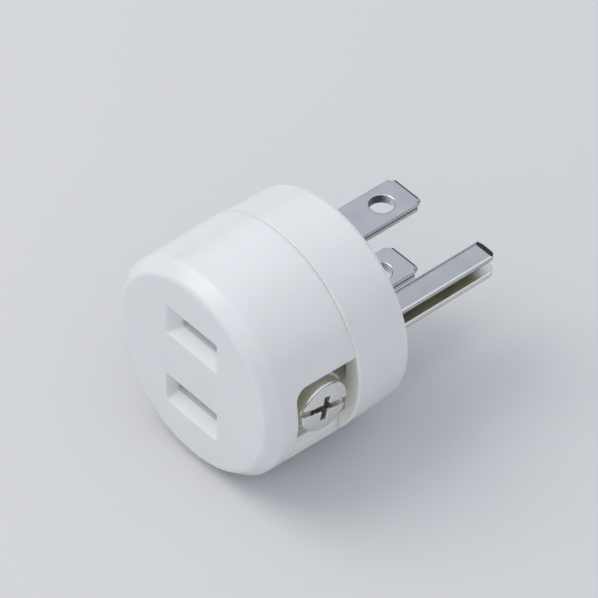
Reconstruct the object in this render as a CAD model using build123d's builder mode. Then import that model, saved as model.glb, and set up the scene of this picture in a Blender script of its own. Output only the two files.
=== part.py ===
"""Grounding plug adapter: a round body in two mouldings, three prongs behind, a two-slot socket in front.

Millimetres. The origin is the centre of the rear face, on the body's axis.
+Y is the way the prongs point, +Z goes from the lower blade to the upper one, +X is the earth pin's side.
Plane.XZ faces -Y, so Plane.XZ.offset(d) lies at depth d in the body, measured from the rear face.
"""
import os
from math import radians, tan

from build123d import *

os.makedirs("parts", exist_ok=True)

# Body
body_length = 24.8
base_depth = 9.6
seam_diameter = 33.4
cover_draft = 1.0
base_draft = 2.6
front_bevel_width = 1.5
front_bevel_depth = 2.0
front_bevel_round = 0.8
front_bevel_edge = 0.15
rear_rim_radius = 1.05
seam_step = 0.05
seam_edge = 0.25
wall = 2.2
front_wall = 3.2
floor = 3.0
spigot_length = 2.0
spigot_wall = 1.3
fit_gap = 0.1

# Blades, each one strip folded double at the tip
blade_spacing = 12.7
blade_offset = -2.7
blade_width = 6.3
blade_length = 16.4
strip = 0.75
layer_gap = 0.06
tip_width = 4.8
notch_length = 1.15
tip_round = 0.7
strip_edge = 0.18
tip_pressed = 0.9
blade_hole = 3.55
hole_edge = 0.2
hole_from_tip = 4.95

# Socket clip, where the two layers of each strip open
clip_width = 8.0
clip_open = 1.9
clip_pinch = 1.2
clip_mouth = 3.4
clip_bend = 0.9
clip_jog_length = 3.8
clip_neck_length = 2.7
clip_flare_length = 2.7
clip_front_gap = 0.6
housing_gap = 0.4
housing_wall = 1.0

# Socket slots
slot_mouth_width = 10.5
slot_mouth_height = 5.1
slot_height = 2.2
live_slot_width = 7.0
neutral_slot_width = 9.2
slot_bevel_depth = 1.5
slot_corner = 0.4
slot_edge = 0.15

# Earth pin, a channel of folded sheet
earth_offset = 11.4
earth_length = 20.7
earth_height = 3.9
earth_depth = 4.25
earth_sheet = 0.95
earth_bend = 0.4
earth_web_cut = 3.1
earth_edge = 0.3
earth_nose_radius = 1.4
earth_nose_bevel = 0.42
earth_nose_bevel_length = 1.1
ear_height = 6.4
ear_length = 2.4
tail_height = 2.4
tail_stake = 0.5

# Terminal recess in the side of the cover
recess_depth = 4.0
recess_top = 5.2
recess_length = 10.65
recess_corner = 2.0
seam_corner = 0.6
recess_wall = 2.0

# Terminal plate, with a tongue bent inwards along the seam
plate_sheet = 1.2
plate_low = 6.0
plate_gap = 0.25
plate_bend = 0.4
flange_height = 4.0
flange_drop = 2.0
flange_margin = 0.8
collar_diameter = 5.8
collar_length = 1.5
collar_gap = 0.3

# Terminal screw and its captive washer
thread_diameter = 4.0
thread_gap = 0.04
terminal_from_seam = 5.6
terminal_drop = 0.3
terminal_shank = 8.0
head_diameter = 8.0
head_height = 1.9
head_dome = 0.2
head_round = 0.5
drive_turn = -12.5
drive_slot_width = 1.0
drive_slot_depth = 0.9
cross_length = 3.9
cross_width = 1.2
cross_depth = 1.3
cross_taper = 8
thread_tip = 0.5
washer_diameter = 8.8
washer_thickness = 0.5
washer_gap = 0.06
seat_gap = 0.02

# Assembly screw, from the rear face into a post of the cover
post_offset = 1.4
post_diameter = 6.6
boss_diameter = 9.0
boss_height = 3.2
assembly_thread = 3.4
assembly_length = 12.0
assembly_head_diameter = 6.0
assembly_head_height = 1.9
assembly_cross_length = 3.4
assembly_cross_width = 0.8
assembly_cross_depth = 1.2
assembly_head_round = 0.6
assembly_tip = 0.8
barrier = 1.5

# Worked-out sizes
cover_radius = seam_diameter / 2
bevel_start = body_length - front_bevel_depth
bevel_radius = cover_radius - (bevel_start - base_depth) * tan(radians(cover_draft))
face_radius = bevel_radius - front_bevel_width
base_radius = cover_radius - seam_step
rear_radius = base_radius - base_depth * tan(radians(base_draft))
bore_radius = cover_radius - wall
bore_end = body_length - front_wall
spigot_radius = bore_radius - fit_gap
cavity_radius = spigot_radius - spigot_wall
blade_z = blade_spacing / 2
blade_left = blade_offset - blade_width / 2
blade_right = blade_offset + blade_width / 2
blade_thickness = 2 * strip + layer_gap
notch = (blade_width - tip_width) / 2
notch_end = blade_length - notch_length + notch
shoulder = floor + fit_gap / 2
clip_start = shoulder + strip
clip_end = bore_end - clip_front_gap
clip_pinch_depth = clip_end - clip_flare_length
clip_neck_depth = clip_pinch_depth - clip_neck_length
housing_start = clip_start + clip_jog_length
housing_height = clip_mouth + 2 * strip + 2 * housing_gap
housing_width = clip_width + 2 * housing_gap
earth_x = blade_offset + earth_offset
web_x = earth_x - earth_depth / 2
recess_floor = cover_radius - recess_depth
plate_face = recess_floor + plate_sheet
plate_length = recess_length - plate_gap - fit_gap / 2
recess_front = base_depth + recess_length
block_inside = recess_floor - recess_wall
block_top = recess_top + recess_wall
flange_start = base_depth + seat_gap
flange_end = flange_start + plate_sheet
bend_end = flange_end + plate_bend
flange_inside = web_x - flange_margin
terminal_depth = base_depth + terminal_from_seam
washer_seat = plate_face + seat_gap
head_seat = washer_seat + washer_thickness + seat_gap
boss_end = floor + boss_height

# Front cover: drafted shell with a bevelled front rim, crisp outside and rounded into the face
with BuildPart() as front_cover:
    with BuildSketch(Plane.XY):
        with BuildLine():
            Polyline((0, -base_depth), (cover_radius, -base_depth), (bevel_radius, -bevel_start),
                     (face_radius, -body_length), (0, -body_length), close=True)
        make_face()
    revolve(axis=Axis.Y)
    fillet(front_cover.edges().filter_by(GeomType.CIRCLE).sort_by(Axis.Y)[-1], seam_edge)
    fillet(front_cover.edges().filter_by(GeomType.CIRCLE).sort_by(Axis.Y)[1], front_bevel_edge)
    fillet(front_cover.edges().filter_by(GeomType.CIRCLE).sort_by(Axis.Y)[0], front_bevel_round)
    with BuildSketch(Plane.XZ.offset(base_depth)):
        Circle(bore_radius)
    extrude(amount=bore_end - base_depth, mode=Mode.SUBTRACT)
    # Block behind the terminal recess
    with BuildSketch(Plane.XZ.offset(base_depth)):
        Circle(bore_radius + wall / 2)
        with Locations((block_inside, block_top)):
            Rectangle(seam_diameter, 2 * seam_diameter, align=(Align.MIN, Align.MAX), mode=Mode.INTERSECT)
    extrude(amount=bore_end - base_depth)
    # Recess, open to the seam and to the underside
    with BuildSketch(Plane.YZ.offset(recess_floor)) as recess:
        with Locations((-recess_front, recess_top)):
            Rectangle(2 * recess_length, seam_diameter, align=(Align.MIN, Align.MAX))
        fillet(recess.vertices().sort_by(Axis.X)[:2].sort_by(Axis.Y)[-1], recess_corner)
        # The cover's corner beside the seam is rounded off
        with Locations((-base_depth, recess_top)):
            Rectangle(seam_corner, seam_corner, align=(Align.MAX, Align.MIN))
        with Locations((-base_depth - seam_corner, recess_top + seam_corner)):
            Circle(seam_corner, mode=Mode.SUBTRACT)
    extrude(amount=seam_diameter, mode=Mode.SUBTRACT)
    # Hole for the plate's threaded collar and gap for its flange
    with BuildSketch(Plane.YZ.offset(block_inside)):
        with Locations((-terminal_depth, -terminal_drop)):
            Circle(collar_diameter / 2 + collar_gap)
    extrude(amount=recess_wall, mode=Mode.SUBTRACT)
    with BuildSketch(Plane.XZ.offset(base_depth)):
        with Locations((block_inside, -flange_drop)):
            Rectangle(recess_wall, flange_height + 2 * fit_gap, align=(Align.MIN, Align.CENTER))
    extrude(amount=flange_end - base_depth + fit_gap / 2, mode=Mode.SUBTRACT)
    with BuildSketch(Plane.XZ.offset(base_depth)):
        with Locations((recess_floor, -flange_drop)):
            Rectangle(plate_bend, flange_height + 2 * fit_gap, align=(Align.MAX, Align.CENTER))
    extrude(amount=flange_end - base_depth + plate_bend, mode=Mode.SUBTRACT)
    # Contact housings, screw post and the barrier between the two contacts
    with BuildSketch(Plane.XZ.offset(housing_start)):
        with Locations((0, blade_z), (0, -blade_z)):
            Rectangle(housing_width + 2 * housing_wall, housing_height + 2 * housing_wall)
    extrude(amount=bore_end - housing_start)
    with BuildSketch(Plane.XZ.offset(boss_end + fit_gap)):
        with Locations((post_offset, 0)):
            Circle(post_diameter / 2)
    extrude(amount=bore_end - boss_end - fit_gap)
    with BuildSketch(Plane.XZ.offset(housing_start)):
        with Locations((post_offset, 0)):
            Rectangle(cavity_radius, barrier, align=(Align.MAX, Align.CENTER))
    extrude(amount=bore_end - housing_start)
    with BuildSketch(Plane.XZ.offset(housing_start)):
        with Locations((0, blade_z), (0, -blade_z)):
            Rectangle(housing_width, housing_height)
    extrude(amount=bore_end - housing_start, mode=Mode.SUBTRACT)
    with BuildSketch(Plane.XZ.offset(boss_end + fit_gap)):
        with Locations((post_offset, 0)):
            Circle(assembly_thread / 2 + thread_gap)
    extrude(amount=assembly_length, mode=Mode.SUBTRACT)
    # Slots: a bevelled funnel down to a narrow slit, the live slit shorter than the neutral one
    for slot_z, slot_width in ((blade_z, live_slot_width), (-blade_z, neutral_slot_width)):
        with BuildSketch(Plane.XZ.offset(body_length)):
            with Locations((0, slot_z)):
                RectangleRounded(slot_mouth_width, slot_mouth_height, slot_corner)
        with BuildSketch(Plane.XZ.offset(body_length - slot_bevel_depth)):
            with Locations((0, slot_z)):
                RectangleRounded(slot_width, slot_height, slot_corner)
        loft(mode=Mode.SUBTRACT)
        with BuildSketch(Plane.XZ.offset(bore_end)):
            with Locations((0, slot_z)):
                RectangleRounded(slot_width, slot_height, slot_corner)
        extrude(amount=front_wall, mode=Mode.SUBTRACT)
    fillet(front_cover.faces().sort_by(Axis.Y)[0].inner_wires().edges(), slot_edge)
front_cover.part.label = "front_cover"

# Rear base: drafted cup with a spigot that enters the cover
with BuildPart() as rear_base:
    with BuildSketch(Plane.XY):
        with BuildLine():
            Polyline((0, 0), (rear_radius, 0), (base_radius, -base_depth), (0, -base_depth), close=True)
        make_face()
    revolve(axis=Axis.Y)
    fillet(rear_base.edges().filter_by(GeomType.CIRCLE).sort_by(Axis.Y)[-1], rear_rim_radius)
    fillet(rear_base.edges().filter_by(GeomType.CIRCLE).sort_by(Axis.Y)[0], seam_edge)
    with BuildSketch(Plane.XZ.offset(base_depth)):
        Circle(spigot_radius)
    extrude(amount=spigot_length)
    with BuildSketch(Plane.XZ.offset(floor)):
        Circle(cavity_radius)
    extrude(amount=base_depth + spigot_length - floor, mode=Mode.SUBTRACT)
    # The spigot is left out where the cover's block stands, and a pad closes the recess behind
    with BuildSketch(Plane.XZ.offset(base_depth)):
        with Locations((block_inside - fit_gap, block_top + fit_gap)):
            Rectangle(seam_diameter, 2 * seam_diameter, align=(Align.MIN, Align.MAX))
    extrude(amount=spigot_length, mode=Mode.SUBTRACT)
    with BuildSketch(Plane.XZ.offset(floor)):
        Circle(cavity_radius + spigot_wall / 2)
        with Locations((block_inside, block_top)):
            Rectangle(seam_diameter, 2 * seam_diameter, align=(Align.MIN, Align.MAX), mode=Mode.INTERSECT)
    extrude(amount=base_depth - floor)
    # Boss for the assembly screw, sunk from the rear face
    with BuildSketch(Plane.XZ.offset(floor)):
        with Locations((post_offset, 0)):
            Circle(boss_diameter / 2)
    extrude(amount=boss_height)
    with BuildSketch(Plane.XZ):
        with Locations((post_offset, 0)):
            Circle(assembly_head_diameter / 2 + 2 * fit_gap)
    extrude(amount=floor, mode=Mode.SUBTRACT)
    with BuildSketch(Plane.XZ):
        with Locations((post_offset, 0)):
            Circle(assembly_thread / 2 + fit_gap)
    extrude(amount=boss_end, mode=Mode.SUBTRACT)
    # Openings for the prongs
    with BuildSketch(Plane.XZ):
        with Locations((blade_offset, blade_z), (blade_offset, -blade_z)):
            Rectangle(blade_width + fit_gap, blade_thickness + fit_gap)
        with Locations((earth_x, 0)):
            Rectangle(earth_depth + fit_gap, earth_height + fit_gap)
    extrude(amount=floor, mode=Mode.SUBTRACT)
rear_base.part.label = "rear_base"

# Live contact: hairpin strip, blade behind and spring clip in front
with BuildPart() as live_contact:
    with BuildSketch(Plane.YZ.offset(blade_left)):
        with BuildLine():
            layer = (strip + layer_gap) / 2
            fold_y = blade_length - strip - layer_gap / 2
            for side in (1, -1):
                open_z = blade_z + side * (clip_open + strip) / 2
                pinch_z = blade_z + side * (clip_pinch + strip) / 2
                mouth_z = blade_z + side * (clip_mouth + strip) / 2
                FilletPolyline((fold_y, blade_z + side * layer), (-clip_start, blade_z + side * layer),
                               (-housing_start, open_z), (-clip_neck_depth, open_z),
                               (-clip_pinch_depth, pinch_z), (-clip_end, mouth_z), radius=clip_bend)
            CenterArc((fold_y, blade_z), layer, -90, 180)
        trace(line_width=strip)
    extrude(amount=clip_width / 2 - blade_left)
    # The fold is pressed square at the tip
    with BuildSketch(Plane.YZ.offset(blade_left)):
        with Locations((blade_length, blade_z)):
            RectangleRounded(2 * tip_pressed, blade_thickness, tip_round, align=(Align.MAX, Align.CENTER))
        with Locations((blade_length - tip_pressed, blade_z)):
            Rectangle(tip_pressed, blade_thickness, align=(Align.MAX, Align.CENTER), mode=Mode.SUBTRACT)
    extrude(amount=blade_width)
    # Plan of the strip: blade outside, shoulder on the floor, clip centred on the slot
    with BuildSketch(Plane.XY):
        with Locations((blade_right, -shoulder)):
            Rectangle(clip_width, 2 * blade_length, align=(Align.MIN, Align.MIN))
        with Locations((-clip_width / 2, -housing_start + fit_gap)):
            Rectangle(clip_width, 2 * body_length, align=(Align.MAX, Align.MAX))
        with Locations((blade_offset, blade_length - hole_from_tip)):
            Circle(blade_hole / 2)
        with Locations((blade_left, blade_length), (blade_right, blade_length)):
            Rectangle(2 * notch, 2 * (notch_length - notch))
        with Locations((blade_left, notch_end), (blade_right, notch_end)):
            Circle(notch)
    extrude(amount=blade_spacing, mode=Mode.SUBTRACT)
    pierced = live_contact.faces().filter_by(lambda face: len(face.inner_wires()) > 0).sort_by(Axis.Z)
    fillet(pierced[0].inner_wires().edges() + pierced[-1].inner_wires().edges(), hole_edge)
    # The strip's cut edges are rounded along the blade
    fillet(live_contact.edges().filter_by(Axis.Y).sort_by(SortBy.LENGTH)[-8:], strip_edge)
live_contact.part.label = "live_contact"

# Neutral contact: the same strip behind the lower slot
with BuildPart() as neutral_contact:
    with Locations((0, 0, -blade_spacing)):
        add(live_contact.part)
neutral_contact.part.label = "neutral_contact"

# Earth pin: channel open away from the blades, flat ears on the floor, tail staked into the plate's flange
with BuildPart() as earth_pin:
    with BuildSketch(Plane.XZ.offset(-earth_length)) as channel:
        with BuildLine():
            leg = (earth_height - earth_sheet) / 2
            leg_end = web_x + earth_depth
            web_mid = web_x + earth_sheet / 2
            FilletPolyline((leg_end, leg), (web_mid, leg), (web_mid, -leg), (leg_end, -leg),
                           radius=earth_bend + earth_sheet / 2)
        trace(line_width=earth_sheet)
        fillet(channel.vertices().sort_by(Axis.X)[-4:], earth_edge)
    extrude(amount=earth_length + floor - fit_gap)
    # Web cut back at the tip, so the two legs stand free
    with BuildSketch(Plane.XZ.offset(-earth_length)):
        with Locations((web_x, 0)):
            Rectangle(earth_sheet, earth_height - 2 * earth_sheet, align=(Align.MIN, Align.CENTER))
    extrude(amount=earth_web_cut, mode=Mode.SUBTRACT)
    # Rounded nose in plan, bevelled on the outer faces
    with BuildSketch(Plane.XY):
        with Locations((earth_x, earth_length)):
            Rectangle(2 * earth_depth, 2 * earth_nose_radius, align=(Align.CENTER, Align.MAX))
            RectangleRounded(earth_depth, earth_length, earth_nose_radius, align=(Align.CENTER, Align.MAX),
                             mode=Mode.SUBTRACT)
    extrude(amount=earth_height, both=True, mode=Mode.SUBTRACT)
    with BuildSketch(Plane.YZ.offset(web_x)):
        for side in (1, -1):
            with BuildLine():
                Polyline((earth_length, side * (earth_height / 2 - earth_nose_bevel)),
                         (earth_length - earth_nose_bevel_length, side * earth_height / 2),
                         (earth_length, side * earth_height / 2), close=True)
            make_face()
    extrude(amount=earth_depth, mode=Mode.SUBTRACT)
    # Neck, ears and tail
    with BuildSketch(Plane.XZ.offset(floor - 2 * fit_gap)):
        with Locations((web_x, 0)):
            Rectangle(earth_sheet, tail_height, align=(Align.MIN, Align.CENTER))
    extrude(amount=ear_length)
    with BuildSketch(Plane.XZ.offset(shoulder)):
        with Locations((web_x, 0)):
            Rectangle(earth_sheet, ear_height, align=(Align.MIN, Align.CENTER))
    extrude(amount=ear_length)
    with BuildSketch(Plane.XZ.offset(shoulder)):
        with Locations((web_x, -flange_drop)):
            Rectangle(earth_sheet, tail_height, align=(Align.MIN, Align.CENTER))
    extrude(amount=flange_end + tail_stake - shoulder)
earth_pin.part.label = "earth_pin"

# Terminal plate: flat on the recess floor, with a tongue bent inwards along the seam and a threaded collar
with BuildPart() as terminal_plate:
    with BuildSketch(Plane.YZ.offset(recess_floor)) as plate:
        with Locations((plate_gap - recess_front, recess_top - plate_gap)):
            Rectangle(plate_length, recess_top - plate_gap + plate_low, align=(Align.MIN, Align.MAX))
        fillet(plate.vertices().sort_by(Axis.X)[:2], recess_corner)
    extrude(amount=plate_sheet)
    with BuildSketch(Plane.XZ.offset(base_depth)):
        with Locations((recess_floor, -flange_drop)):
            Rectangle(plate_sheet, flange_height, align=(Align.MIN, Align.CENTER))
    extrude(amount=bend_end - base_depth, mode=Mode.SUBTRACT)
    with BuildSketch(Plane.XY.offset(-flange_drop - flange_height / 2)):
        with BuildLine():
            plate_mid = recess_floor + plate_sheet / 2
            flange_mid = -flange_start - plate_sheet / 2
            FilletPolyline((flange_inside, flange_mid), (plate_mid, flange_mid), (plate_mid, -terminal_depth),
                           radius=plate_bend + plate_sheet / 2)
        trace(line_width=plate_sheet)
    extrude(amount=flange_height)
    with BuildSketch(Plane.YZ.offset(recess_floor - collar_length)):
        with Locations((-terminal_depth, -terminal_drop)):
            Circle(collar_diameter / 2)
    extrude(amount=collar_length)
    with BuildSketch(Plane.YZ.offset(recess_floor - collar_length)):
        with Locations((-terminal_depth, -terminal_drop)):
            Circle(thread_diameter / 2)
    extrude(amount=collar_length + plate_sheet, mode=Mode.SUBTRACT)
    with BuildSketch(Plane.XZ.offset(flange_start)):
        with Locations((web_x + earth_sheet / 2, -flange_drop)):
            Rectangle(earth_sheet + fit_gap / 2, tail_height + fit_gap / 2)
    extrude(amount=plate_sheet, mode=Mode.SUBTRACT)
terminal_plate.part.label = "terminal_plate"

# Terminal washer: captive under the screw head
with BuildPart() as terminal_washer:
    with BuildSketch(Plane.YZ.offset(washer_seat)):
        with Locations((-terminal_depth, -terminal_drop)):
            Circle(washer_diameter / 2)
            Circle(thread_diameter / 2 + washer_gap, mode=Mode.SUBTRACT)
    extrude(amount=washer_thickness)
terminal_washer.part.label = "terminal_washer"

# Terminal screw: low domed head with a slot right across and a cross recess
with BuildPart() as terminal_screw:
    screw_axis = Axis((head_seat, -terminal_depth, -terminal_drop), (1, 0, 0))
    with BuildSketch(Plane(screw_axis.position, x_dir=(1, 0, 0), z_dir=(0, 0, 1))) as half_head:
        with BuildLine():
            Polyline((head_height, 0), (0, 0), (0, head_diameter / 2),
                     (head_height - head_dome, head_diameter / 2))
            TangentArc((head_height, 0), (head_height - head_dome, head_diameter / 2), tangent=(0, 1))
        make_face()
        fillet(half_head.vertices().sort_by(Axis.Y)[-2:].sort_by(Axis.X)[-1], head_round)
    revolve(axis=screw_axis)
    with BuildSketch(Plane.YZ.offset(head_seat - terminal_shank)):
        with Locations((-terminal_depth, -terminal_drop)):
            Circle(thread_diameter / 2 - thread_gap)
    extrude(amount=terminal_shank)
    chamfer(terminal_screw.edges().filter_by(GeomType.CIRCLE).sort_by(Axis.X)[0], thread_tip)
    with BuildSketch(Plane.YZ.offset(head_seat + head_height)):
        with Locations(Location((-terminal_depth, -terminal_drop, 0), (0, 0, drive_turn))):
            Rectangle(2 * head_diameter, drive_slot_width)
    extrude(amount=-drive_slot_depth, mode=Mode.SUBTRACT)
    with BuildSketch(Plane.YZ.offset(head_seat + head_height)):
        with Locations(Location((-terminal_depth, -terminal_drop, 0), (0, 0, drive_turn))):
            Rectangle(cross_width, cross_length)
            Rectangle(cross_length, cross_width)
    extrude(amount=-cross_depth, taper=cross_taper, mode=Mode.SUBTRACT)
terminal_screw.part.label = "terminal_screw"

# Assembly screw: pan head sunk in the rear face
with BuildPart() as assembly_screw:
    with BuildSketch(Plane.XZ.offset(floor - assembly_head_height)):
        with Locations((post_offset, 0)):
            Circle(assembly_head_diameter / 2)
    extrude(amount=assembly_head_height - seat_gap)
    fillet(assembly_screw.edges().filter_by(GeomType.CIRCLE).sort_by(Axis.Y)[-1], assembly_head_round)
    with BuildSketch(Plane.XZ.offset(floor - seat_gap)):
        with Locations((post_offset, 0)):
            Circle(assembly_thread / 2)
    extrude(amount=assembly_length)
    chamfer(assembly_screw.edges().filter_by(GeomType.CIRCLE).sort_by(Axis.Y)[0], assembly_tip)
    with BuildSketch(Plane.XZ.offset(floor - assembly_head_height)):
        with Locations((post_offset, 0)):
            Rectangle(assembly_cross_width, assembly_cross_length)
            Rectangle(assembly_cross_length, assembly_cross_width)
    extrude(amount=assembly_cross_depth, taper=cross_taper, mode=Mode.SUBTRACT)
assembly_screw.part.label = "assembly_screw"

for piece in (front_cover, rear_base, live_contact, neutral_contact, earth_pin, terminal_plate, terminal_washer,
              terminal_screw, assembly_screw):
    export_step(piece.part, f"parts/{piece.part.label}.step")
    print(piece.part.label, len(piece.part.solids()), round(piece.part.volume, 1), piece.part.is_valid)
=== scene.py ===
# %% [markdown]
# # Grounding plug adapter
# A round white adapter for a wall outlet: two flat blades and an earth pin behind, a two-slot socket in front,
# and an earth terminal screw in a recess on the side. The measured model comes in as a fixed frame, in metres,
# and this lesson dresses it. Shapes are worked out in millimetres and scaled once, when a mesh is made.

import bmesh
import bpy
import numpy as np
from mathutils import Matrix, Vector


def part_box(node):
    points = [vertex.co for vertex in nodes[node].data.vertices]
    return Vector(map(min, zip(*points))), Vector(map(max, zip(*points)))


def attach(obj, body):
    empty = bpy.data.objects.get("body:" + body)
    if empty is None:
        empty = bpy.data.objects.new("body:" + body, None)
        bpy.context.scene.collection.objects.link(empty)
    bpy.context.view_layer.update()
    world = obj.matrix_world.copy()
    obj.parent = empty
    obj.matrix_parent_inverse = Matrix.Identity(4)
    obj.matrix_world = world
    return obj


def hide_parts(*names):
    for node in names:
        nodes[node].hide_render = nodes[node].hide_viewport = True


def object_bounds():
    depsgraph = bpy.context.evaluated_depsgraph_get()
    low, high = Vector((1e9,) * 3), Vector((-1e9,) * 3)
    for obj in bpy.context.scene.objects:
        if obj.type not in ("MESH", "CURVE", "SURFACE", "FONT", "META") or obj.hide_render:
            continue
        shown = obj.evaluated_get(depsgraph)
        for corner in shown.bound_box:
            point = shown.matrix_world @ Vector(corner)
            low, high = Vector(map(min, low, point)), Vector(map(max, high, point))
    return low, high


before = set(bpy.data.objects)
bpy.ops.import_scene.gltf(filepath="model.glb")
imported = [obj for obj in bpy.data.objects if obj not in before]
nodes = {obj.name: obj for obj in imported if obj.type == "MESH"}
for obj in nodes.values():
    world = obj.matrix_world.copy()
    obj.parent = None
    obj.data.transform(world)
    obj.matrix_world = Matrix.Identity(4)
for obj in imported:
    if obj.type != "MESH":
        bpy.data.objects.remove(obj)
cad_box = [list(corner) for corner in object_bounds()]
MM = 0.001
print("nodes", sorted(nodes), "box", np.round(cad_box, 4).tolist())

# %% [markdown]
# ## Camera
# The picture was taken with a long lens from above and to the front right. The angles, the distance and the point
# that the lens is aimed at come from fitting the blades, the seam and the slots, whose sizes are known, to the
# picture's edges. A camera's own axes are right, up and back, so its matrix is built from those three directions.
# The Standard view transform shows each colour about as it is written.

# %% Camera
view_azimuth, view_elevation, view_roll = np.radians((48.036, 43.991, 1.192))
view_distance = 700.0
pixels_across = 598
pixels_per_mm = 7.359
anchor_point = np.array((-2.674, 0.0, 0.0))
anchor_pixel = np.array((317.74, 279.30))
sensor_width = 36.0

back = np.array((np.sin(view_azimuth) * np.cos(view_elevation), -np.cos(view_azimuth) * np.cos(view_elevation),
                 np.sin(view_elevation)))
level_right = np.array((np.cos(view_azimuth), np.sin(view_azimuth), 0.0))
level_up = np.cross(back, level_right)
right = level_right * np.cos(view_roll) + level_up * np.sin(view_roll)
up = level_up * np.cos(view_roll) - level_right * np.sin(view_roll)
shift_right, shift_down = (anchor_pixel - pixels_across / 2) / pixels_per_mm
eye = anchor_point - right * shift_right + up * shift_down + back * view_distance


def placed(first, second, third, origin):
    """A 4x4 matrix whose columns are three unit axes and an origin, all in metres."""
    return Matrix(np.vstack([np.column_stack([first, second, third, origin]), (0, 0, 0, 1)]).tolist())


camera_data = bpy.data.cameras.new("view")
camera_data.sensor_width = sensor_width
camera_data.lens = pixels_per_mm * view_distance / pixels_across * sensor_width
camera = bpy.data.objects.new("view", camera_data)
camera.matrix_world = placed(right, up, back, eye * MM)
bpy.context.scene.collection.objects.link(camera)
bpy.context.scene.camera = camera
bpy.context.scene.view_settings.view_transform = "Standard"
print("lens", round(camera_data.lens, 1), "eye", np.round(eye, 1))

# %% [markdown]
# ## Key light
# One wide soft lamp stands to the upper left of the socket face. It brightens the bevel of the face and the top of
# the body, and throws the soft shadow to the lower right. A disk lamp gives a shadow with a soft rim all round.

# %% Key light
key_direction = np.array((-0.60, -0.49, 1.05))
key_direction = key_direction / np.linalg.norm(key_direction)
key_right = np.cross((0, 0, 1), key_direction)
key_right = key_right / np.linalg.norm(key_right)
key_distance = 0.62
key_data = bpy.data.lights.new("key", "AREA")
key_data.shape = "DISK"
key_data.size = 0.50
key_data.energy = 1.34
key_data.color = (1.0, 0.99, 0.97)
key = bpy.data.objects.new("key", key_data)
key.matrix_world = placed(key_right, np.cross(key_direction, key_right), key_direction, key_direction * key_distance)
bpy.context.scene.collection.objects.link(key)
print("key lamp", round(key_data.size, 2), "m across, towards", np.round(key_direction, 2))

# %% [markdown]
# ## One tool for all shader nodes
# The surround and every finish are small graphs of shader nodes. One helper adds a node, sets it, feeds its inputs
# with numbers or with other nodes' outputs, and gives back the output that is wanted, so a graph reads like a formula.

# %% One tool for all shader nodes
def wire(owner, kind, output, inputs, **settings):
    """Adds a shader node to a material or world, and returns one of its outputs."""
    tree = owner.node_tree
    added = tree.nodes.new("ShaderNode" + kind)
    for name, value in settings.items():
        setattr(added, name, value)
    for name, value in inputs.items():
        if isinstance(value, bpy.types.NodeSocket):
            tree.links.new(value, added.inputs[name])
        else:
            added.inputs[name].default_value = value
    return added.outputs[output]


# %% [markdown]
# ## Surround
# A sheet of paper under a wide soft light, in a dim room: low down past the paper's far edge the room is dark, and
# higher up the light is everywhere, stronger to the front and the right. Plastic hardly shows this, but bright metal
# does: the dark belt draws the thin dark lines along the blades' folds, the pin's nose and the screw's rim, and on the
# folds and the nose the finishes add a painted dark reflection as well.
# Both are functions of the direction alone: a ramp of its height, times a straight gradient along one level axis.

# %% Surround
glow_axis = np.array((0.74, -0.66, 0.12))
dim_side, glow_side = 0.755, 1.13
belt = ((0.0, 0.55), (0.03, 0.55), (0.06, 0.10), (0.24, 0.10), (0.43, 0.79), (0.75, 0.77), (1.0, 0.70))
cool = np.array((1.0, 1.035, 1.10))
world = bpy.data.worlds.new("surround")
bpy.context.scene.world = world
world.use_nodes = True
world.node_tree.nodes.clear()
sky_place = wire(world, "TexCoord", "Generated", {})
sky_height = wire(world, "SeparateXYZ", "Z", {"Vector": sky_place})
sky_belt = wire(world, "ValToRGB", "Color", {"Fac": sky_height})
stops = sky_belt.node.color_ramp.elements
while len(stops) < len(belt):
    stops.new(0.5)
for stop, (height, level) in zip(stops, belt):
    stop.position = height
    stop.color = (*(cool * level), 1)
sky_along = wire(world, "VectorMath", "Value", {0: sky_place, 1: glow_axis / np.linalg.norm(glow_axis)},
                 operation="DOT_PRODUCT")
sky_gain = wire(world, "MapRange", "Result", {"Value": sky_along, "From Min": -1.0, "To Min": dim_side,
                                              "To Max": glow_side})
glow = wire(world, "Background", "Background", {"Color": sky_belt, "Strength": sky_gain})
world.node_tree.links.new(glow, world.node_tree.nodes.new("ShaderNodeOutputWorld").inputs["Surface"])
print("surround with", len(stops), "stops in height")

# %% [markdown]
# ## Floor
# The adapter lies on its side on a sheet of pale paper. The paper's top is the lowest level of the CAD box.

# %% Floor
floor_half = 2.0
floor_level = cad_box[0][2]
floor_corners = [(x * floor_half, y * floor_half, floor_level) for x, y in ((-1, -1), (1, -1), (1, 1), (-1, 1))]
floor_mesh = bpy.data.meshes.new("floor")
floor_mesh.from_pydata(floor_corners, [], [(0, 1, 2, 3)])
floor = bpy.data.objects.new("floor", floor_mesh)
bpy.context.scene.collection.objects.link(floor)
paper = bpy.data.materials.new("pale_paper")
paper.use_nodes = True
paper_shader = paper.node_tree.nodes["Principled BSDF"]
paper_shader.inputs["Base Color"].default_value = (0.72, 0.72, 0.735, 1)
paper_shader.inputs["Roughness"].default_value = 0.9
paper_shader.inputs["Specular IOR Level"].default_value = 0.1
floor_mesh.materials.append(paper)
print("floor at", round(floor_level / MM, 2), "mm")

# %% [markdown]
# ## Tools for finishes
# Every finish is a Principled shader fed by noise and by tests on Object coordinates, which are metres here, so a
# noise scale of 1000 has a grain of about 1 mm. A test is a smooth step from 0 to 1, which works as a mask: a product
# of masks holds where all hold, and the larger of two holds where one does. A colour is a blend driven by a mask.

# %% Tools for finishes
def finish(name, metallic=0.0):
    """A new material and its Principled shader."""
    material = bpy.data.materials.new(name)
    material.use_nodes = True
    shader = material.node_tree.nodes["Principled BSDF"]
    shader.inputs["Metallic"].default_value = metallic
    return material, shader


def feed(shader, socket, value):
    """Links an output to a named socket of a shader."""
    shader.id_data.links.new(value, shader.inputs[socket])


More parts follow.
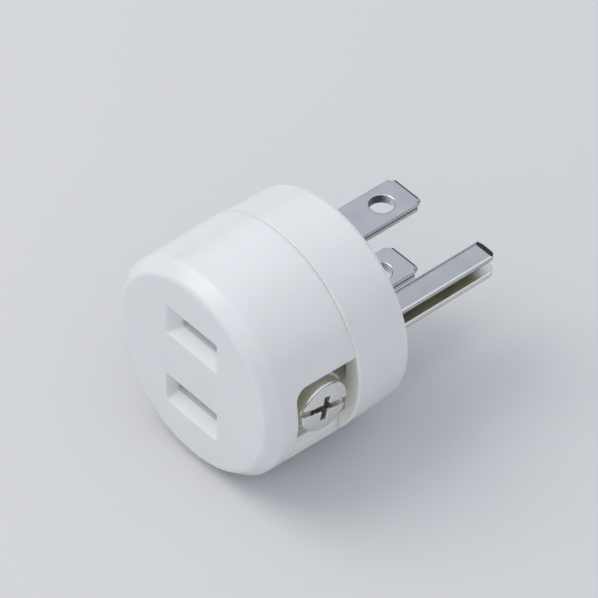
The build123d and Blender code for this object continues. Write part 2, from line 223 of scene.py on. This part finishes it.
def axes(material, kind):
    """X, Y and Z of a piece's own coordinates ("Object") or of its own surface direction ("Normal")."""
    place = wire(material, "TexCoord", kind, {})
    return wire(material, "SeparateXYZ", "X", {"Vector": place}).node.outputs


def calc(material, operation, first, second=0.0):
    """One step of arithmetic on two numbers or outputs."""
    return wire(material, "Math", "Value", {0: first, 1: second}, operation=operation)


def unsigned(material, value):
    """A number without its sign."""
    return calc(material, "ABSOLUTE", value)


def radial(material, first, second):
    """The distance from a line, from two distances across it: the root of the sum of their squares."""
    across = wire(material, "CombineXYZ", "Vector", {"X": first, "Y": second})
    return wire(material, "VectorMath", "Value", {0: across}, operation="LENGTH")


def step(material, value, start, end, low=0.0, high=1.0):
    """Low up to start, high from end on, smooth between."""
    return wire(material, "MapRange", "Result", {"Value": value, "From Min": start, "From Max": end, "To Min": low,
                                                 "To Max": high}, interpolation_type="SMOOTHSTEP")


def both(material, first, *others):
    """A mask that holds where all masks hold: their product."""
    for other in others:
        first = calc(material, "MULTIPLY", first, other)
    return first


def either(material, first, *others):
    """A mask that holds where any mask holds: the largest."""
    for other in others:
        first = calc(material, "MAXIMUM", first, other)
    return first


# %% [markdown]
# ## Tones and relief
# Noise lies mostly between 0.3 and 0.7, so a drift stretches that range to what is wanted: a blend of two tones, or a
# range of gloss. Relief is fine noise as a bump, over edges that a Bevel node softens, as no real edge is sharp.

# %% Tones and relief
usual_noise = (0.3, 0.7)


def grain(material, scale, detail=2.0, stretch=(1, 1, 1)):
    """Noise on Object coordinates: scale cells to the metre, each axis stretched by its own factor."""
    place = wire(material, "TexCoord", "Object", {})
    spot = wire(material, "Mapping", "Vector", {"Vector": place, "Scale": stretch})
    return wire(material, "TexNoise", "Fac", {"Vector": spot, "Scale": scale, "Detail": detail})


def drift(material, noise, low=0.0, high=1.0):
    """Noise stretched to go from low to high."""
    return step(material, noise, *usual_noise, low, high)


def blend(material, mask, first, second):
    """The first colour, and the second where the mask holds; each is three numbers or another output."""
    first, second = [(*colour, 1) if isinstance(colour, tuple) else colour for colour in (first, second)]
    return wire(material, "Mix", "Result", {"Factor": mask, "A": first, "B": second}, data_type="RGBA")


def mottle(material, scale, first, second, detail=2.0):
    """A slow blend of two colours by noise."""
    return blend(material, drift(material, grain(material, scale, detail)), first, second)


def relief(material, shader, height, depth, edge):
    """Bumps the surface by a height times a depth, over edges softened by a radius; both are in metres."""
    soft_edge = wire(material, "Bevel", "Normal", {"Radius": edge}, samples=6)
    feed(shader, "Normal", wire(material, "Bump", "Normal", {"Height": height, "Distance": depth, "Normal": soft_edge}))


def wear(name, material):
    """Gives a CAD node its finish."""
    nodes[name].data.materials.clear()
    nodes[name].data.materials.append(material)
    print(name, "wears", material.name)


# %% [markdown]
# ## Moulded resin
# The two halves of the body are white injection mouldings with a satin skin. A mould leaves a very fine texture and
# slow drifts of tone and gloss, and every edge of the steel mould is a little round, most of all round the front rim.
# So the finish has fine relief, a slow tint, a slow change of gloss, and edges softened in the shader. Light also
# goes a little way into the resin.
# The recess walls are painted a lighter, creamier white, as painted light that brightens their shade. They are right of
# the middle: the cover's walls below the skin and behind the bevel of the face, and the base's front inside the seam.

# %% Moulded resin
dim_white, clear_white, cream_painted_light = (0.84, 0.85, 0.857), (0.865, 0.87, 0.882), (0.99, 0.985, 0.91)
resin, resin_shader = finish("moulded_resin")
resin_place = axes(resin, "Object")
from_core = radial(resin, resin_place["X"], resin_place["Z"])
below_skin = step(resin, from_core, 16.2 * MM, 15.7 * MM)
behind_bevel = step(resin, resin_place["Y"], -21.5 * MM, -20.8 * MM)
inside_seam = step(resin, from_core, 16.68 * MM, 16.58 * MM)
behind_seam = step(resin, resin_place["Y"], -9.9 * MM, -9.75 * MM)
right_of_core = step(resin, resin_place["X"], 9.5 * MM, 10.5 * MM)
before_base = step(resin, resin_place["Y"], -9.0 * MM, -9.4 * MM)
recess_walls = both(resin, below_skin, behind_bevel)
base_front = both(resin, inside_seam, behind_seam)
# Painted light: a lighter cream on the recess walls and on the base's front inside the recess.
painted_light_walls = both(resin, either(resin, recess_walls, base_front), right_of_core, before_base)
feed(resin_shader, "Base Color", blend(resin, painted_light_walls, mottle(resin, 110, dim_white, clear_white), cream_painted_light))
feed(resin_shader, "Roughness", drift(resin, grain(resin, 160), 0.22, 0.27))
front_rim = both(resin, step(resin, from_core, 10.8 * MM, 11.4 * MM),
                 step(resin, resin_place["Y"], -21.4 * MM, -22.2 * MM))
edge_radius = step(resin, front_rim, 0.0, 1.0, 0.14 * MM, 0.85 * MM)
relief(resin, resin_shader, grain(resin, 5200, detail=1), depth=0.0022 * MM, edge=edge_radius)
resin_shader.inputs["Subsurface Weight"].default_value = 0.6
resin_shader.inputs["Subsurface Radius"].default_value = (1.0, 0.96, 0.88)
resin_shader.inputs["Subsurface Scale"].default_value = 1.0 * MM
wear("front_cover", resin)
wear("rear_base", resin)

# %% [markdown]
# ## Rolled nickel strip
# Blades, earth pin, terminal plate and washer are stamped from plated strip. Rolling leaves fine lines along the strip,
# here along Y, so the noise is stretched: many cells across, few along. The same lines drive the relief and the gloss.

# %% Rolled nickel strip
def rolled_nickel(name, metallic=1.0):
    """Plated strip: rolling lines along Y in relief and gloss."""
    material, shader = finish(name, metallic)
    lines = grain(material, 1.0, detail=2, stretch=(5200, 160, 5200))
    feed(shader, "Roughness", drift(material, lines, 0.24, 0.33))
    relief(material, shader, lines, depth=0.0007 * MM, edge=0.12 * MM)
    return material, shader


# %% [markdown]
# ## Blades
# Slow stains make the plating cooler or greyer. The blades were stamped after plating, so their cut edges are duller.
# The parting line between the two layers is painted dark as painted shade. A cut edge is where the surface turns away
# from Z, and the parting line is at the blade's mid height. A thin dark line along the bend at the tip is a painted
# dark reflection, and the wall of the punched hole carries a painted highlight on one side and a painted dark
# reflection on the other.

# %% Blades
blade_height = 6.35
blade_line = -2.7
blade_tip = np.array(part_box("live_contact"))[1][1] / MM
hole_radius = 1.78
hole_place = blade_tip - 4.95
# The parting line's tone is painted shade, and the fold's tone is a painted dark reflection.
cut_metal, parting_shade_tone, fold_reflection_tone = (0.61, 0.62, 0.595), (0.14, 0.14, 0.125), (0.10, 0.105, 0.11)
# A painted highlight and a painted dark reflection for the two sides of the hole's wall.
hole_highlight_tone, hole_reflection_tone = (0.84, 0.85, 0.83), (0.10, 0.105, 0.10)
nickel, nickel_shader = rolled_nickel("rolled_nickel")
blade_place = axes(nickel, "Object")
blade_facing = axes(nickel, "Normal")
flatness = unsigned(nickel, blade_facing["Z"])
cut_edge = step(nickel, flatness, 0.75, 0.35)
off_middle = calc(nickel, "SUBTRACT", unsigned(nickel, blade_place["Z"]), blade_height * MM)
parting = step(nickel, unsigned(nickel, off_middle), 0.15 * MM, 0.08 * MM)
near_tip = step(nickel, blade_place["Y"], (blade_tip - 0.70) * MM, (blade_tip - 0.45) * MM)
fold = both(nickel, near_tip, step(nickel, flatness, 0.15, 0.4))
from_hole = radial(nickel, calc(nickel, "SUBTRACT", blade_place["X"], blade_line * MM),
                   calc(nickel, "SUBTRACT", blade_place["Y"], hole_place * MM))
by_hole = step(nickel, from_hole, (hole_radius + 0.4) * MM, (hole_radius + 0.2) * MM)
hole_wall = both(nickel, cut_edge, by_hole)
hole_dark_side = step(nickel, blade_facing["X"], 0.30, 0.85)
hole_light_and_reflection = blend(nickel, hole_dark_side, hole_highlight_tone, hole_reflection_tone)
blade_tone = mottle(nickel, 260, (0.60, 0.615, 0.665), (0.66, 0.675, 0.725), detail=3)
blade_tone = blend(nickel, cut_edge, blade_tone, cut_metal)
blade_tone = blend(nickel, parting, blade_tone, parting_shade_tone)
blade_tone = blend(nickel, hole_wall, blade_tone, hole_light_and_reflection)
# Painted dark reflection along the fold at the tip.
feed(nickel_shader, "Base Color", blend(nickel, fold, blade_tone, fold_reflection_tone))
wear("live_contact", nickel)
wear("neutral_contact", nickel)

# %% [markdown]
# ## Earth pin
# Plating bath and polish hardly reach the inside of the folded pin, so it is a dull olive there, made darker as painted
# shade. A box test on Object coordinates finds the inside: right of the web, between the two legs. Near the tip the
# inside is given a bright tone instead, as painted light. The legs' edges face away from the web. They are dull cut
# metal, more so on the upper leg. Their upper rims carry a painted highlight, and the pressed bevels of the nose, the
# rims facing the tip and the lower rims of the legs carry a painted dark reflection.

# %% Earth pin
pin_low, pin_high = np.array(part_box("earth_pin")) / MM
pin_sheet = 0.95
pin_height = 3.9
pin_tip = pin_high[1]
web_face = pin_low[0] + pin_sheet
leg_inside = (pin_height / 2 - pin_sheet) * MM
pin_metal, pin_shader = rolled_nickel("rolled_nickel_pin")
pin_place = axes(pin_metal, "Object")
between_legs = step(pin_metal, unsigned(pin_metal, pin_place["Z"]), leg_inside + 0.05 * MM, leg_inside)
past_web = step(pin_metal, pin_place["X"], (web_face - 0.05) * MM, web_face * MM)
back_from_tip = step(pin_metal, pin_place["Y"], (pin_tip - 1.5) * MM, (pin_tip - 4.0) * MM)
inside = both(pin_metal, between_legs, past_web)
tarnish_and_shade = both(pin_metal, inside, back_from_tip)
print("pin inside, x from", round(web_face, 2), "mm")

# %% [markdown]
# The outside of the pin is told apart by where its surface faces: along X are the legs' edges, and a rim is where an
# edge turns up, down or to the tip.

# %% Earth pin's edges and tones
# This line's last tone is a painted highlight for the upper rims.
lower_cut, upper_cut, painted_rim_highlight = (0.76, 0.765, 0.74), (0.54, 0.545, 0.53), (0.97, 0.97, 0.94)
# This line's first tone is painted light inside near the tip, and its second a painted dark reflection.
painted_light_near_tip, painted_dark_reflection = (0.82, 0.84, 0.84), (0.13, 0.14, 0.14)
pin_facing = axes(pin_metal, "Normal")
leg_edges = step(pin_metal, pin_facing["X"], 0.35, 0.8)
outward = step(pin_metal, pin_facing["X"], 0.1, 0.3)
high_rim = both(pin_metal, outward, step(pin_metal, pin_facing["Z"], 0.2, 0.5))
low_rim = both(pin_metal, outward, step(pin_metal, pin_facing["Z"], -0.03, -0.12))
tip_rim = both(pin_metal, outward, step(pin_metal, pin_facing["Y"], 0.35, 0.6))
nose = both(pin_metal, step(pin_metal, pin_facing["Y"], 0.15, 0.30),
            step(pin_metal, unsigned(pin_metal, pin_facing["Z"]), 0.3, 0.6),
            step(pin_metal, pin_place["Y"], (pin_tip - 2.0) * MM, (pin_tip - 1.5) * MM))
# Painted dark reflection on the nose, on the rims facing the tip and on the lower rims.
dark_reflection_mask = either(pin_metal, nose, low_rim, tip_rim)
upper_leg = step(pin_metal, pin_place["Z"], -leg_inside, leg_inside)
dull_edge = blend(pin_metal, upper_leg, lower_cut, upper_cut)
olive_shaded_tone = mottle(pin_metal, 600, (0.26, 0.25, 0.165), (0.36, 0.345, 0.24), detail=3)
pin_tone = mottle(pin_metal, 260, (0.59, 0.60, 0.64), (0.65, 0.66, 0.70), detail=3)
pin_tone = blend(pin_metal, leg_edges, pin_tone, dull_edge)
# Painted highlight on the rims that face up.
pin_tone = blend(pin_metal, high_rim, pin_tone, painted_rim_highlight)
# Painted light: a bright tone inside the pin near its tip.
pin_tone = blend(pin_metal, inside, pin_tone, painted_light_near_tip)
pin_tone = blend(pin_metal, dark_reflection_mask, pin_tone, painted_dark_reflection)
# The olive inside is tarnish, darkened as painted shade.
feed(pin_shader, "Base Color", blend(pin_metal, tarnish_and_shade, pin_tone, olive_shaded_tone))
feed(pin_shader, "Metallic", step(pin_metal, tarnish_and_shade, 0.0, 1.0, 1.0, 0.25))
wear("earth_pin", pin_metal)

# %% [markdown]
# ## Terminal plate and washer
# The plate under the screw is the same strip, but it is handled and squeezed by wires, so its plating is worn to a
# warm grey. Towards its upper end, under the roof of the recess, it is painted a dark brown as painted shade. The
# captive washer on it is worn less. Worn plating is part metal and part dull oxide, so it is less metallic.

# %% Terminal plate and washer
worn_and_shaded_metal, worn_and_shaded_shader = rolled_nickel("rolled_nickel_worn_and_shaded", metallic=0.7)
lower_plate_tone = mottle(worn_and_shaded_metal, 420, (0.42, 0.42, 0.395), (0.52, 0.52, 0.495), detail=3)
# Painted shade: a darker brown towards the upper end.
upper_painted_shade = mottle(worn_and_shaded_metal, 420, (0.20, 0.185, 0.115), (0.28, 0.265, 0.18), detail=3)
upper_end = step(worn_and_shaded_metal, axes(worn_and_shaded_metal, "Object")["Z"], -3.0 * MM, 2.5 * MM)
feed(worn_and_shaded_shader, "Base Color", blend(worn_and_shaded_metal, upper_end, lower_plate_tone, upper_painted_shade))
wear("terminal_plate", worn_and_shaded_metal)
washer_metal, washer_shader = rolled_nickel("rolled_nickel_washer", metallic=0.7)
feed(washer_shader, "Base Color", mottle(washer_metal, 420, (0.50, 0.48, 0.38), (0.62, 0.60, 0.50), detail=3))

# %% [markdown]
# ## Painted shade and light on the terminal screw
# The slot is painted a little darker, and the floor of the cross and its arms past the slot much darker, as painted
# shade in these hollows; the side of the head is painted a lighter olive as painted light. Each place is found by its
# distance from the screw's axis, its distance along the cross, and its depth below the top of the head.

# %% Painted shade and light on the terminal screw
screw_low, screw_high = np.array(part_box("terminal_screw")) / MM
screw_middle = (screw_low + screw_high) / 2
head_top = 16.34
drive_turn = np.radians(-12.5)
slot_way = np.array((0, np.cos(drive_turn), np.sin(drive_turn)))
cross_way = np.array((0, -np.sin(drive_turn), np.cos(drive_turn)))
bright, bright_shader = finish("plated_screw", metallic=1.0)
screw_place = wire(bright, "TexCoord", "Object", {})
from_middle = wire(bright, "VectorMath", "Vector", {0: screw_place, 1: screw_middle * MM}, operation="SUBTRACT")
along_slot = wire(bright, "VectorMath", "Value", {0: from_middle, 1: slot_way}, operation="DOT_PRODUCT")
along_cross = wire(bright, "VectorMath", "Value", {0: from_middle, 1: cross_way}, operation="DOT_PRODUCT")
from_axis = radial(bright, along_slot, along_cross)
screw_depth = axes(bright, "Object")["X"]


def below_top(start, end):
    """A mask that sets in from start to end, in millimetres below the top of the head."""
    return step(bright, screw_depth, (head_top - start) * MM, (head_top - end) * MM)


within_rim = step(bright, from_axis, 3.8 * MM, 3.3 * MM)
# Painted shade in the slot and on the floor and arms of the cross.
shaded_slot = both(bright, below_top(0.25, 0.6), within_rim)
shaded_floor = both(bright, below_top(0.92, 1.1), within_rim)
past_slot = step(bright, unsigned(bright, along_cross), 0.58 * MM, 0.70 * MM)
within_arms = step(bright, from_axis, 2.3 * MM, 2.1 * MM)
shaded_cross = either(bright, shaded_floor, both(bright, past_slot, within_arms, below_top(0.15, 0.35)))
past_rim = step(bright, from_axis, 3.80 * MM, 3.92 * MM)
within_head = step(bright, from_axis, 4.4 * MM, 4.2 * MM)
# Painted light on the side of the head.
head_side = both(bright, past_rim, within_head, below_top(0.55, 0.75))
print("screw axis at", np.round(screw_middle[1:], 2), "mm, head top at", head_top, "mm")

# %% [markdown]
# ## Plated screw
# The screws are turned and plated: brighter than strip, with a faint orange-peel skin and scuffs where a driver has
# slipped. Scuffs are short, so their noise is stretched less than the rolling lines. Where shade or light is painted
# on the screw, the finish is also matt, with less metal in it.

# %% Plated screw
# Painted shade in the slot and the cross, and painted light on the side of the head.
slot_shade_tone, side_light_tone, deep_shade_tone = (0.60, 0.59, 0.53), (0.64, 0.625, 0.50), (0.23, 0.23, 0.19)
side_light_cover = 0.8
matt = either(bright, shaded_cross, calc(bright, "MULTIPLY", head_side, side_light_cover))
screw_tone = mottle(bright, 520, (0.73, 0.735, 0.715), (0.80, 0.80, 0.775), detail=3)
screw_tone = blend(bright, shaded_slot, screw_tone, slot_shade_tone)
screw_tone = blend(bright, head_side, screw_tone, side_light_tone)
scuffs = grain(bright, 1.0, detail=3, stretch=(900, 1500, 4200))
feed(bright_shader, "Base Color", blend(bright, shaded_cross, screw_tone, deep_shade_tone))
feed(bright_shader, "Metallic", step(bright, matt, 0.0, 1.0, 1.0, 0.3))
feed(bright_shader, "Roughness", drift(bright, scuffs, 0.12, 0.24))
relief(bright, bright_shader, grain(bright, 2600, detail=2), depth=0.0018 * MM, edge=0.03 * MM)
print(bright.name, "has", len(bright.node_tree.nodes), "shader nodes")

# %% [markdown]
# ## Tools for shapes
# A shape is a grid of points: rows along one parameter, columns along the other. Skinning puts a quad between each
# four neighbours. Rows that shrink to a point close the ends, doubles are merged, and normals are turned outwards.
# Faces are shaded smooth, apart from edges that bend more than the crease angle.

# %% Tools for shapes
crease = np.radians(35.0)


def smooth(mesh):
    """Smooth shading up to the crease angle."""
    mesh.shade_smooth()
    mesh.set_sharp_from_angle(angle=crease)


def skin(name, grid):
    """An object from a grid of points in millimetres (rows, columns, 3); the last column joins the first."""
    rows, columns = grid.shape[:2]
    index = np.arange(rows * columns).reshape(rows, columns)
    index = np.hstack([index, index[:, :1]])
    quads = np.stack([index[:-1, :-1], index[1:, :-1], index[1:, 1:], index[:-1, 1:]], axis=-1).reshape(-1, 4)
    mesh = bpy.data.meshes.new(name)
    mesh.from_pydata((grid.reshape(-1, 3) * MM).tolist(), [], quads.tolist())
    shell = bmesh.new()
    shell.from_mesh(mesh)
    bmesh.ops.remove_doubles(shell, verts=shell.verts, dist=1e-8)
    bmesh.ops.recalc_face_normals(shell, faces=shell.faces)
    shell.to_mesh(mesh)
    shell.free()
    smooth(mesh)
    piece = bpy.data.objects.new(name, mesh)
    bpy.context.scene.collection.objects.link(piece)
    return piece


def cut(piece, *cutters):
    """Takes cutters out of a piece with exact Booleans, applied at once, and throws the cutters away."""
    for cutter in cutters:
        boolean = piece.modifiers.new("cut", "BOOLEAN")
        boolean.operation = "DIFFERENCE"
        boolean.solver = "EXACT"
        boolean.object = cutter
    mesh = bpy.data.meshes.new_from_object(piece.evaluated_get(bpy.context.evaluated_depsgraph_get()))
    piece.modifiers.clear()
    piece.data = mesh
    smooth(mesh)
    for cutter in cutters:
        bpy.data.objects.remove(cutter)


def dress(piece, body, material, slot, *stands_for):
    """Gives a finished piece its finish and its body, and hides the CAD nodes it stands for."""
    piece.data.materials.clear()
    piece.data.materials.append(material)
    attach(piece, body)
    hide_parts(*stands_for)
    print(piece.name, len(piece.data.polygons), "faces for", *stands_for)


def arc(centre, radius, start, end, count):
    """Points on a circle in a plane, from one angle to another, in degrees."""
    angle = np.radians(np.linspace(start, end, count))
    return np.column_stack([centre[0] + radius * np.cos(angle), centre[1] + radius * np.sin(angle)])


# %% [markdown]
# ## Turned pieces
# A screw is turned: its outline is a profile of (place along the axis, radius), carried round the axis. The thread is
# the same surface with a radius that also depends on the angle, so the ridge climbs one pitch in each turn.

# %% Turned pieces
def turned(profile, origin, axis, side, around=96, thread=None):
    """A lathe grid: each profile point (along, radius) goes round the axis. A thread (start, end, pitch, depth) lowers
    the radius by depth times a ridge wave of (along / pitch - angle / full turn), faded at the two ends."""
    axis, side = np.array(axis, float), np.array(side, float)
    other = np.cross(axis, side)
    angle = np.linspace(0, 2 * np.pi, around, endpoint=False)
    along_axis = profile[:, :1]
    radius = np.repeat(profile[:, 1:], around, axis=1)
    if thread:
        start, end, pitch, depth = thread
        crest, flank = 0.12, 0.70
        phase = along_axis / pitch - angle / (2 * np.pi)
        ridge = np.clip((np.abs(2 * (phase % 1.0) - 1) - crest) / flank, 0, 1)
        ends = np.clip(np.minimum(along_axis - start, end - along_axis) / pitch, 0, 1)
        radius = radius - depth * ridge * ends
    ring = np.cos(angle)[:, None] * side + np.sin(angle)[:, None] * other
    return np.array(origin) + along_axis[..., None] * axis + radius[..., None] * ring


def head_profile(radius, height, dome, rim, foot=0.08):
    """A screw head above its seat: rounded foot, straight side, rounded rim, and a low dome that ends on the axis.
    The rim's circle touches the side inside and the dome's sphere from below."""
    foot_points, rim_points, crown_points = 5, 9, 14
    ball = (radius ** 2 + dome ** 2) / (2 * dome)
    centre = height - ball
    rim_radius = radius - rim
    rim_place = centre + np.sqrt((ball - rim) ** 2 - rim_radius ** 2)
    lean = np.degrees(np.arctan2(rim_place - centre, rim_radius))
    tangent = ball * np.cos(np.radians(lean))
    crown = np.linspace(tangent, 0, crown_points)[1:]
    return np.vstack([arc((foot, radius - foot), foot, 180, 90, foot_points),
                      arc((rim_place, rim_radius), rim, 90, 90 - lean, rim_points),
                      np.column_stack([centre + np.sqrt(ball ** 2 - crown ** 2), crown])])


def turned_screw(name, head, rim, side, shank_radius, tip_place, taper, thread_end, pitch, thread_depth):
    """A screw in one turned profile: a flat tip, a taper as long as it is deep, a threaded shank, and a head given as
    (seat, axis, radius, height, dome)."""
    seat, axis, radius, height, dome = head
    rows = 120
    tip = np.array([[tip_place, 0], [tip_place, shank_radius - taper]])
    shank = np.column_stack([np.linspace(tip_place + taper, 0, rows), np.full(rows, shank_radius)])
    profile = np.vstack([tip, shank, head_profile(radius, height, dome, rim)])
    return skin(name, turned(profile, seat, axis, side, thread=(tip_place, thread_end, pitch, thread_depth)))


# %% [markdown]
# ## Driver grooves
# A driver's slot and cross are pressed into the head, so the mouth of a groove follows the dome and its edges are a
# little broken. Each groove is a section carried along a straight way, and is then taken out of the turned head.

# %% Driver grooves
def groove(head, way, reach, half_width, depth, lean):
    """A cutter on a head, given as (seat, axis, radius, height, dome): a section of (across, height) points carried
    from -reach to reach. Its walls and ends lean in towards the floor by a slope, and a chamfer breaks its mouth."""
    seat, axis, radius, height, dome = head
    across = np.cross(axis, way)
    ball = (radius ** 2 + dome ** 2) / (2 * dome)
    rows = 25
    places = np.linspace(-reach, reach, rows)
    mouth = height - ball + np.sqrt(ball ** 2 - places ** 2)
    chamfer, skim, clearance = 0.06, 0.01, 1.0
    width = np.array([half_width - lean * depth, half_width, half_width + chamfer, half_width + chamfer])
    width = np.concatenate([width, -width[::-1]])
    level = np.stack([np.full_like(places, height - depth), mouth - chamfer, mouth + skim, mouth + clearance])
    level = np.concatenate([level, level[::-1]]).T
    end_lean = lean * (height - level)
    run = np.clip(places[:, None], -reach + end_lean, reach - end_lean)
    body = np.array(seat) + level[..., None] * axis + run[..., None] * way + width[:, None] * across
    ends = [np.repeat(row.mean(axis=0, keepdims=True)[None], body.shape[1], axis=1) for row in (body[0], body[-1])]
    return skin("groove", np.concatenate([ends[0], body, ends[1]]))


# %% [markdown]
# ## Terminal screw
# The big screw that clamps the earth wire. Its low domed head has a slot right across and a cross, turned a little
# from level, and its shank carries a metric thread that runs in the plate's collar. The cross leans in towards its
# floor, as a cross driver does.

# %% Terminal screw
washer_low, washer_high = np.array(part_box("terminal_washer")) / MM
seat_gap = 0.02
screw_seat = np.array((washer_high[0] + seat_gap, screw_middle[1], screw_middle[2]))
screw_axis = np.array((1.0, 0.0, 0.0))
head_radius = (screw_high[1] - screw_low[1]) / 2
head_height, head_dome = 1.9, 0.2
head = (screw_seat, screw_axis, head_radius, head_height, head_dome)
terminal_screw = turned_screw("terminal_screw_turned", head, rim=0.5, side=(0, 1, 0), shank_radius=1.96,
                              tip_place=screw_low[0] - screw_seat[0], taper=0.5, thread_end=-0.3, pitch=0.7,
                              thread_depth=0.42)
cross_form = {"reach": 1.95, "half_width": 0.6, "depth": 1.4, "lean": 0.14}
cut(terminal_screw, groove(head, slot_way, reach=5.0, half_width=0.5, depth=0.9, lean=0.0),
    groove(head, cross_way, **cross_form), groove(head, slot_way, **cross_form))
dress(terminal_screw, "screw", bright, "nickel_screw", "terminal_screw")

# %% [markdown]
# ## Assembly screw
# A tapping screw with a pan head, sunk in the rear face, draws the base onto the cover's post. It is the same lathe
# form, along Y, with a coarser and deeper thread that cuts its own way in resin.

# %% Assembly screw
tapping_low, tapping_high = np.array(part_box("assembly_screw")) / MM
tapping_middle = (tapping_low + tapping_high) / 2
tapping_height, tapping_dome = 1.88, 0.35
tapping_seat = np.array((tapping_middle[0], tapping_high[1] - tapping_height, tapping_middle[2]))
tapping_axis = np.array((0.0, 1.0, 0.0))
tapping_radius = (tapping_high[0] - tapping_low[0]) / 2
tapping_head = (tapping_seat, tapping_axis, tapping_radius, tapping_height, tapping_dome)
assembly_screw = turned_screw("assembly_screw_turned", tapping_head, rim=0.6, side=(1, 0, 0), shank_radius=1.7,
                              tip_place=tapping_low[1] - tapping_seat[1], taper=0.8, thread_end=-0.6, pitch=1.3,
                              thread_depth=0.5)
tapping_cross = {"reach": 1.7, "half_width": 0.4, "depth": 1.2, "lean": 0.14}
cut(assembly_screw, groove(tapping_head, (1.0, 0.0, 0.0), **tapping_cross),
    groove(tapping_head, (0.0, 0.0, 1.0), **tapping_cross))
dress(assembly_screw, "adapter", bright, "nickel_screw", "assembly_screw")

# %% [markdown]
# ## Captive washer
# A thin plain ring under the head, seen as a narrow line at its foot. Tumbling has rounded its edges, so its section
# is a rectangle with four small arcs, carried round the screw's axis.

# %% Captive washer
washer_thick = washer_high[0] - washer_low[0]
washer_radius = (washer_high[1] - washer_low[1]) / 2
washer_hole = 2.06
soft = 0.12
corner_points = 5
washer_section = np.vstack([arc((soft, washer_radius - soft), soft, 180, 90, corner_points),
                            arc((washer_thick - soft, washer_radius - soft), soft, 90, 0, corner_points),
                            arc((washer_thick - soft, washer_hole + soft), soft, 0, -90, corner_points),
                            arc((soft, washer_hole + soft), soft, -90, -180, corner_points)])
washer_section = np.vstack([washer_section, washer_section[:1]])
washer = skin("terminal_washer_turned", turned(washer_section, (washer_low[0], screw_middle[1], screw_middle[2]),
                                               (1, 0, 0), (0, 1, 0), around=128))
dress(washer, "washer", washer_metal, "nickel_screw", "terminal_washer")
